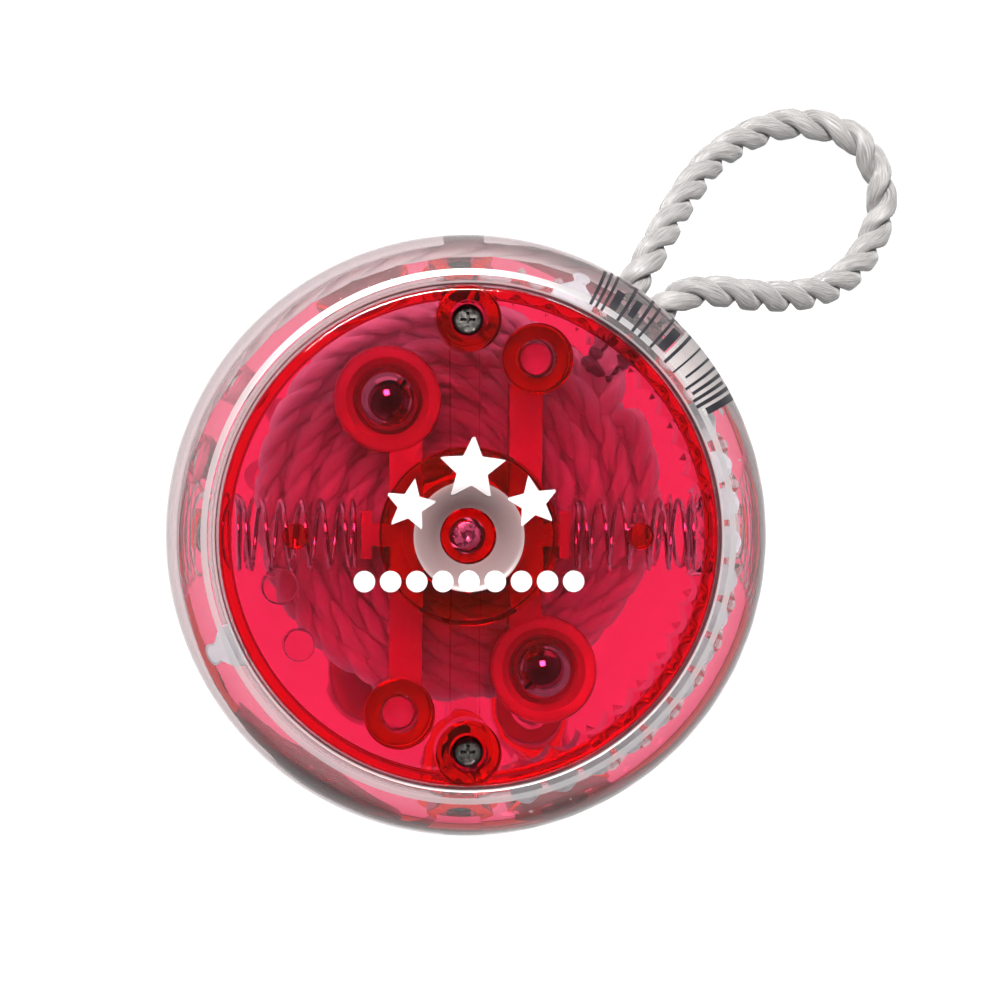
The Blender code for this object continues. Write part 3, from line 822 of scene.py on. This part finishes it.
def cap_profile():
    """Cover disc with its skirt, the thick central boss, the dish and the axle's stepped bore."""
    edge = 0.3 * MM
    fine = 0.15 * MM
    boss = arc(BOSS_R - edge, BOSS_Z + edge, edge, -90, 0, 4) + [(BOSS_R + 0.15 * MM, CAP_UNDER_Z)]
    skirt_foot = LEDGE_Z + GAP
    skirt = [(CAP_SKIRT_R - 0.1 * MM, CAP_UNDER_Z)]
    skirt += arc(CAP_SKIRT_R + fine, skirt_foot + fine, fine, 180, 270, 3)
    skirt += arc(CAP_R - fine, skirt_foot + fine, fine, 270, 360, 3)
    outer = arc(CAP_R - edge, CAP_TOP_Z - edge, edge, 0, 90, 5)
    dish = []
    for i in range(0, 15):
        fall = i / 14
        radius = DISH_R + (DISH_HOLE_R + fine - DISH_R) * fall
        dish.append((radius, CAP_TOP_Z - DISH_DEPTH * fall * fall * (1.45 - 0.45 * fall)))
    well_top = CAP_TOP_Z - DISH_DEPTH - fine
    well = [(DISH_HOLE_R, well_top), (DISH_HOLE_R, WELL_Z + fine)]
    well += [(DISH_HOLE_R - fine, WELL_Z), (0, WELL_Z)]
    bore = [(0, AXLE_END_Z + GAP), (AXLE_R + GAP, AXLE_END_Z + GAP)]
    return bore + [(AXLE_R + GAP, BOSS_Z)] + boss + skirt + outer + dish + well


def cap_mesh():
    root_z = CAP_UNDER_Z + 0.8 * MM
    head_seat = SCREW_HEAD_TOP_Z - 1.2 * MM - GAP
    spins = [Matrix.Rotation(turn, 3, "Z") for turn in (0, pi)]
    screws = [spin @ Vector((0, SCREW_Y, 0)) for spin in spins]
    pivots = [spin @ PIVOT for spin in spins]
    springs = [spin @ Vector((SPRING_POST_X, 0, 0)) for spin in spins]
    solid = [rod(SCREW_BOSS_R, BOSS_Z, root_z, 64, p, 0.15 * MM) for p in screws]
    solid += [rod(PIVOT_TUBE_R, CAP_BOTTOM_Z, root_z, 64, p, 0.15 * MM) for p in pivots]
    solid += [rod(SPRING_POST_R, SPRING_POST_Z, root_z, 32, p, 0.2 * MM) for p in springs]
    wide = [rod(SCREW_HEAD_R + GAP, head_seat, MIDDLE, 48, p) for p in screws]
    wide += [rod(PIVOT_TUBE_BORE_R, BOSS_Z - MM, CAP_UNDER_Z, 40, p) for p in pivots]
    narrow = [rod(SCREW_SHANK_R + GAP, BOSS_Z - MM, MIDDLE, 24, p) for p in screws]
    tools = ((joined(solid), "UNION"), (joined(wide), "DIFFERENCE"), (joined(narrow), "DIFFERENCE"))
    mesh = smooth(carved("cap", turned(cap_profile(), 160), tools))
    mesh.materials.clear()
    mesh.materials.append(RED)
    mesh.materials.append(FROSTED_RED_PAINTED_REFLECTION)
    # The dish's faces take the frosted red, whose pale share is a painted reflection.
    for face in mesh.polygons:
        reach = Vector(face.center[:2]).length
        if DISH_HOLE_R < reach < DISH_R and face.center.z > CAP_UNDER_Z - MM:
            face.material_index = 1
    return mesh


# ---------------------------------------------------------------- clutch parts


def lever_mesh():
    """One clutch lever, with its origin on its pivot."""
    low, high = LEVER_BOTTOM_Z, LEVER_TOP_Z
    over = high + MM
    step = 0.2 * MM
    ball = Vector((BALL.x - PIVOT.x, BALL.y - PIVOT.y, 0))
    bar_x = -(DRUM_R + GAP) - PIVOT.x
    plate_x = SEAT_PLATE_X - PIVOT.x
    mid_y = -PIVOT.y
    neck, plate = 1.1 * MM, 2.3 * MM  # half widths of the spring's seat and the arm to it
    rim_z = high - 0.8 * MM
    rim = [(0, rim_z), (BALL_R + GAP, rim_z), (CUP_RIM_R, high), (CUP_RIM_R, over), (0, over)]
    tools = (
        (block(bar_x - BAR_WIDTH, bar_x, 1.6 * MM, ball.y - 3 * MM, low, high - step), "UNION"),
        (rod(CUP_R, low, high, 72, ball, 0.5 * MM), "UNION"),
        (block(plate_x + MM / 2, bar_x - MM, mid_y - neck, mid_y + neck, low, high - 2 * step), "UNION"),
        (block(plate_x, plate_x + MM, mid_y - plate, mid_y + plate, low, high), "UNION"),
        (rod(BALL_R + GAP, low + CUP_FLOOR, over, 56, ball), "DIFFERENCE"),
        (turned(rim, 56, ball), "DIFFERENCE"),
        (rod(PIVOT_POST_R + GAP, low - MM, over, 40), "DIFFERENCE"),
    )
    return smooth(carved("lever", rod(PIVOT_RING_R, low, high, 56, soft=0.2 * MM), tools))


def ball_mesh():
    bm = bmesh.new()
    bmesh.ops.create_icosphere(bm, subdivisions=4, radius=BALL_R)
    bm.transform(Matrix.Translation(BALL - PIVOT))
    mesh = to_mesh("ball", bm)
    mesh.shade_smooth()
    return mesh


def spring_mesh():
    """A compression spring along X with closed end coils, from the wall to the lever's plate."""
    start = -SPRING_OUTER_X + SPRING_WIRE / 2
    end = SEAT_PLATE_X - GAP - SPRING_WIRE / 2
    radius = SPRING_R - SPRING_WIRE / 2
    closed = 1.0
    per_coil = 40
    steps = int(SPRING_COILS * per_coil)
    free = SPRING_COILS - 2 * closed
    pitch = (end - start - 2 * closed * SPRING_WIRE) / free
    curve = bpy.data.curves.new("spring_line", "CURVE")
    curve.dimensions = "3D"
    curve.bevel_depth = SPRING_WIRE / 2
    curve.bevel_resolution = 3
    curve.use_fill_caps = True
    spline = curve.splines.new("POLY")
    spline.points.add(steps)
    for i, point in enumerate(spline.points):
        coil = i / per_coil
        tight = min(coil, closed) + max(coil - SPRING_COILS + closed, 0)
        x = start + tight * SPRING_WIRE + (coil - tight) * pitch
        angle = 2 * pi * coil
        point.co = (x, radius * cos(angle), SPRING_Z + radius * sin(angle), 1)
    line = new_object("spring_line", curve)
    bpy.context.view_layer.update()
    mesh = bpy.data.meshes.new_from_object(line.evaluated_get(bpy.context.evaluated_depsgraph_get()))
    mesh.name = "spring"
    bpy.data.objects.remove(line, do_unlink=True)
    return smooth(mesh, 50)


def cap_screw_mesh():
    """A pan-head screw with a cross recess and a threaded shank."""
    top = SCREW_HEAD_TOP_Z
    under = top - 1.2 * MM
    shank = [(0, SCREW_TIP_Z), (0.25 * MM, SCREW_TIP_Z + 0.1 * MM)]
    thread_r = SCREW_SHANK_R - 0.18 * MM
    z = SCREW_TIP_Z + 0.9 * MM
    while z + 0.7 * MM < under:
        shank += [(thread_r, z), (SCREW_SHANK_R, z + 0.25 * MM), (thread_r, z + 0.5 * MM)]
        z += 0.6 * MM
    head = [(thread_r, under)] + arc(SCREW_HEAD_R - 0.15 * MM, under + 0.15 * MM, 0.15 * MM, -90, 0, 3)
    head += arc(SCREW_HEAD_R - 0.45 * MM, top - 0.45 * MM, 0.45 * MM, 0, 80, 6) + [(0, top)]
    long, wide = 0.95 * MM, 0.2 * MM
    cross = [(long, -wide), (long, wide), (wide, wide), (wide, long), (-wide, long), (-wide, wide)]
    cross += [(-x, -y) for x, y in cross]
    recess = prism(cross, top - 0.8 * MM, top + MM)
    for vert in recess.verts:
        if vert.co.z < top:
            vert.co.x *= 0.55
            vert.co.y *= 0.55
    return smooth(carved("cap_screw", turned(shank + head, 48), ((recess, "DIFFERENCE"),)))


def make_axle():
    """The steel axle, with rounded ends and a small centre dimple in each."""
    end = AXLE_END_Z
    soft = 0.2 * MM
    upper = [(AXLE_R, end - soft)] + arc(AXLE_R - soft, end - soft, soft, 0, 90, 4)[1:]
    upper += [(0.55 * MM, end), (0, end - 0.35 * MM)]
    lower = [(r, -z) for r, z in reversed(upper)]
    mesh = smooth(to_mesh("axle_steel", turned(upper + lower, 48)))
    placed("axle_pin", mesh, "front", AXLE_STEEL, "root", "axle")


def make_spindle():
    """String seat between two flanges, with a clutch drum at each end."""
    bore = AXLE_R + GAP
    seat = GAP_WALL_Z - GAP
    soft = 0.3 * MM
    shoulder = arc(DRUM_R - soft, DRUM_TOP_Z - soft, soft, 90, 0, 4)
    drum = [(bore, DRUM_TOP_Z)] + shoulder + [(DRUM_R, seat)]
    flange = arc(STRING_SEAT_R - 0.15 * MM, seat - 0.15 * MM, 0.15 * MM, 90, 0, 3)
    waist = [(STRING_SEAT_R, seat - 0.5 * MM), (5.1 * MM, 0.9 * MM), (5.0 * MM, 0.3 * MM)]
    upper = drum + flange + waist
    lower = [(r, -z) for r, z in reversed(upper)]
    mesh = smooth(to_mesh("spindle_sleeve", turned(upper + lower, 72)))
    placed("spindle_sleeve", mesh, "front", SPINDLE_PLASTIC, "spindle", "spindle")


def squash_spring(obj):
    """Gives the spring its own copy of the mesh."""
    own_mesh(obj)


# ---------------------------------------------------------------- print on the cap


def cap_surface(radius):
    """Height of the cap's top face, half frame, at a distance from the axle."""
    if radius >= DISH_R:
        return CAP_TOP_Z
    fall = min((DISH_R - radius) / (DISH_R - DISH_HOLE_R), 1)
    return CAP_TOP_Z - DISH_DEPTH * fall * fall * (1.45 - 0.45 * fall)


def film(outline, centre, low, high):
    """A thin printed solid from an outline's (reach, angle) function about its centre.

    low and high give the heights of its two faces from the distance to the axle.
    """
    rings, steps = 8, 72
    bm = bmesh.new()
    sheets = []
    for height in (low, high):
        middle = bm.verts.new((centre.x, centre.y, height(centre.length)))
        sheet = []
        for i in range(1, rings + 1):
            ring = []
            for k in range(steps):
                angle = 2 * pi * k / steps
                place = centre + Vector((cos(angle), sin(angle))) * outline(angle) * i / rings
                ring.append(bm.verts.new((place.x, place.y, height(place.length))))
            sheet.append(ring)
        for k in range(steps):
            n = (k + 1) % steps
            bm.faces.new((middle, sheet[0][k], sheet[0][n]))
            for inner, outer in zip(sheet, sheet[1:]):
                bm.faces.new((inner[k], outer[k], outer[n], inner[n]))
        sheets.append(sheet)
    for k in range(steps):
        n = (k + 1) % steps
        bm.faces.new((sheets[0][-1][k], sheets[0][-1][n], sheets[1][-1][n], sheets[1][-1][k]))
    return bm


def star(size, turn):
    """Reach of a five-pointed star's edge at an angle."""
    inner = STAR_NOTCH * size

    def reach(angle):
        part = (angle - turn) % (2 * pi / 5)
        part = min(part, 2 * pi / 5 - part)
        tip = Vector((size, 0))
        notch = Vector((inner * cos(pi / 5), inner * sin(pi / 5)))
        edge = notch - tip
        return (tip.x * edge.y - tip.y * edge.x) / (cos(part) * edge.y - sin(part) * edge.x)

    return reach


def dot(angle):
    """Reach of a round dot's edge, the same at every angle."""
    return PRINT_DOT_R


def make_print():
    """A plain print on the front cap: three stars over the dish and a row of dots below it."""

    def low(radius):
        return cap_surface(radius) + PRINT_CLEARANCE

    def high(radius):
        return cap_surface(radius) + PRINT_THICK

    shapes = []
    for size, x, y in PRINT_STARS:
        centre = Vector((x, y))
        shapes.append(film(star(size, centre.angle_signed(Vector((1, 0)))), centre, low, high))
    for i in range(PRINT_DOTS):
        centre = Vector(((i - (PRINT_DOTS - 1) / 2) * PRINT_DOT_STEP, PRINT_DOT_Y))
        shapes.append(film(dot, centre, low, high))
    mesh = smooth(to_mesh("cap_print", joined(shapes)))
    placed("cap_print", mesh, "front", WHITE_INK, "root", None)


def rim_point(share, lift):
    """(radius, z) on the rim's outer face, from the lip (0) to low on its outside (1), lifted off it."""
    face = np.array([point for point in rim_curve() if point[1] > LABEL_FOOT_Z][::-1])
    lengths = np.concatenate([[0], np.cumsum(np.linalg.norm(np.diff(face, axis=0), axis=1))])
    at = share * lengths[-1]
    places = (at, at + 0.1 * MM)
    here, ahead = (np.array([np.interp(d, lengths, face[:, k]) for k in (0, 1)]) for d in places)
    along = (ahead - here) / np.linalg.norm(ahead - here)
    return here + np.array((-along[1], along[0])) * lift


def radial_bar(start, end, near, far, low, high):
    """A thin bar down the rim's outer face between two angles, from one share of it to another."""
    steps = 16
    bm = bmesh.new()
    rows = []
    for i in range(steps + 1):
        share = near + (far - near) * i / steps
        row = []
        for angle, lift in ((start, low), (end, low), (end, high), (start, high)):
            reach, z = rim_point(share, lift)
            row.append(bm.verts.new((reach * cos(angle), reach * sin(angle), z)))
        rows.append(row)
    for one, two in zip(rows, rows[1:]):
        for k in range(4):
            n = (k + 1) % 4
            bm.faces.new((one[k], one[n], two[n], two[k]))
    bm.faces.new(rows[0])
    bm.faces.new(rows[-1])
    return bm


def make_label():
    """A label on the front rim: plain dark radial bars and pale patches."""
    bars = []
    for start, end, near, far in LABEL_BARS:
        bars.append(radial_bar(radians(start), radians(end), near, far, *BAR_LIFT))
    mesh = smooth(to_mesh("label_bars", joined(bars)))
    placed("label_bars", mesh, "front", DARK_INK, "root", None)
    patches = []
    for start, end in LABEL_PATCHES:
        steps = int((end - start) / LABEL_STRIP) + 1
        for i in range(steps):
            left = start + (end - start) * i / steps
            right = start + (end - start) * (i + 1) / steps - LABEL_STRIP_GAP
            patches.append(radial_bar(radians(left), radians(right), *LABEL_STRIP_ENDS, *STRIP_LIFT))
    mesh = smooth(to_mesh("label_film", joined(patches)))
    placed("label_film", mesh, "front", PALE_FILM, "root", None)


def make_scallops():
    """Milky scallops inside the front's clear rim, just outside the lip."""
    shapes = []
    places = [(SCALLOP_START + SCALLOP_STEP * i, SCALLOP_STEP) for i in range(SCALLOP_COUNT)]
    places += [(angle, LARGE_SCALLOP_WIDTH) for angle in LARGE_SCALLOPS]
    near, far = SCALLOP_R
    crown_steps, foot_steps = 16, 8
    for middle, width in places:
        outline = []
        for i in range(crown_steps + 1):
            share = cos(pi * i / crown_steps)
            reach = near + 0.1 * MM + (far - near) * sin(pi * i / crown_steps)
            angle = middle + share * width * SCALLOP_FILL
            outline.append((reach * cos(angle), reach * sin(angle)))
        for i in range(foot_steps + 1):
            angle = middle + (i * 2 / foot_steps - 1) * width * SCALLOP_FILL
            outline.append((near * cos(angle), near * sin(angle)))
        shapes.append(prism(outline, *SCALLOP_Z))
    mesh = smooth(to_mesh("rim_scallops", joined(shapes)))
    placed("rim_scallops", mesh, "front", MILKY, "root", None)


def make_camera():
    data = bpy.data.cameras.new("camera")
    data.lens = LENS_MM
    camera = new_object("camera", data)
    camera.location = Vector((0, 0, MIDDLE)) + CAMERA_SIDE.normalized() * CAMERA_DISTANCE
    behind = (camera.location - AIM).normalized()
    right = Vector((0, 1, 0)).cross(behind).normalized()
    up = behind.cross(right)
    camera.rotation_euler = Matrix((right, up, behind)).transposed().to_euler()
    data.clip_start = 0.01
    data.clip_end = 10
    SCENE.camera = camera


def make_studio():
    """A pale floor, softly lit by its own emission: a painted pool of light, brightest under the object
    and fading outwards; dim surroundings, a compact key light and a weak soft box.
    """
    bm = bmesh.new()
    bmesh.ops.create_circle(bm, cap_ends=True, segments=96, radius=1.5)
    floor = new_object("floor", to_mesh("floor", bm))
    floor.location.z = -0.02 * MM
    mat, tree, shader, output = node_material("floor")
    shader.inputs["Base Color"].default_value = (0.08, 0.08, 0.08, 1)
    shader.inputs["Roughness"].default_value = 0.9
    shader.inputs["Specular IOR Level"].default_value = 0.1
    place = tree.nodes.new("ShaderNodeTexCoord")
    fade = tree.nodes.new("ShaderNodeTexGradient")
    fade.gradient_type = "SPHERICAL"
    spread = tree.nodes.new("ShaderNodeMapping")
    spread.inputs["Scale"].default_value = (1 / PAINTED_POOL_R, 1 / PAINTED_POOL_R, 1 / PAINTED_POOL_R)
    tree.links.new(place.outputs["Object"], spread.inputs["Vector"])
    tree.links.new(spread.outputs["Vector"], fade.inputs["Vector"])
    # Painted light: the emission ramp makes the floor brightest under the object and dimmer further out.
    painted_light_pool = ramp(tree, fade.outputs["Fac"], (0.35, 0.35, 0.35), (0.84, 0.84, 0.84), 0.15, 0.46)
    for at, level in ((0.8, 0.84), (0.86, 1.15)):
        stop = painted_light_pool.color_ramp.elements.new(at)
        stop.color = (level, level, level, 1)
    tree.links.new(painted_light_pool.outputs["Color"], shader.inputs["Emission Color"])
    shader.inputs["Emission Strength"].default_value = 1.2
    floor.data.materials.append(mat)

    world = bpy.data.worlds.new("studio")
    world.use_nodes = True
    tree = world.node_tree
    background = tree.nodes["Background"]
    place = tree.nodes.new("ShaderNodeTexCoord")
    split = tree.nodes.new("ShaderNodeSeparateXYZ")
    tree.links.new(place.outputs["Generated"], split.inputs["Vector"])
    shade = ramp(tree, split.outputs["Z"], (1.0, 1.0, 1.0), (0.05, 0.05, 0.05), 0.05, 0.9)
    middle = shade.color_ramp.elements.new(0.42)
    middle.color = (0.16, 0.16, 0.16, 1)
    tree.links.new(shade.outputs["Color"], background.inputs["Color"])
    background.inputs["Strength"].default_value = 0.8
    SCENE.world = world

    soft_boxes = (
        ("key_box", (-0.08, 0.40, 0.90), 0.30, 0.30, 36.0),
        ("top_box", (0.02, 0.85, 0.30), 1.3, 0.60, 2.0),
    )
    for name, place_at, wide, tall, power in soft_boxes:
        light = bpy.data.lights.new(name, "AREA")
        light.shape = "RECTANGLE"
        light.size = wide
        light.size_y = tall
        light.energy = power
        light.color = LAMP_COLOUR
        lamp = new_object(name, light)
        lamp.location = place_at
        lamp.rotation_euler = (-Vector(place_at)).to_track_quat("-Z", "Y").to_euler()

    SCENE.view_settings.view_transform = "Standard"
    SCENE.cycles.max_bounces = 24
    SCENE.cycles.transmission_bounces = 24
    SCENE.cycles.glossy_bounces = 12
    SCENE.cycles.transparent_max_bounces = 24


def make_halves():
    body, cap, lever = body_mesh(), cap_mesh(), lever_mesh()
    ball, spring, screw = ball_mesh(), spring_mesh(), cap_screw_mesh()
    for side in ("front", "back"):
        placed(f"{side}_clear_body", body, side, CLEAR, "root", f"{side}_body")
        placed(f"{side}_red_cap", cap, side, RED, "root", f"{side}_cap")
        for n in (1, 2):
            turn = pi * (n - 1)
            arm = f"{side}_lever_{n}"
            boss = Vector((0, SCREW_Y, 0))
            placed(f"{side}_screw_{n}", screw, side, SCREW_STEEL, "root", f"{side}_cap_screw_{n}",
                   boss, turn)
            placed(f"{side}_arm_{n}", lever, side, LEVER_RED, arm, arm, PIVOT, turn)
            placed(f"{side}_weight_{n}", ball, side, BALL_STEEL, arm, f"{side}_ball_{n}",
                   PIVOT, turn)
            coil = placed(f"{side}_coil_{n}", spring, side, SPRING_STEEL, "root", f"{side}_spring_{n}",
                          turn=turn)
            squash_spring(coil)


make_camera()
make_string()
make_halves()
make_axle()
make_spindle()
make_scallops()
make_print()
make_label()
make_studio()
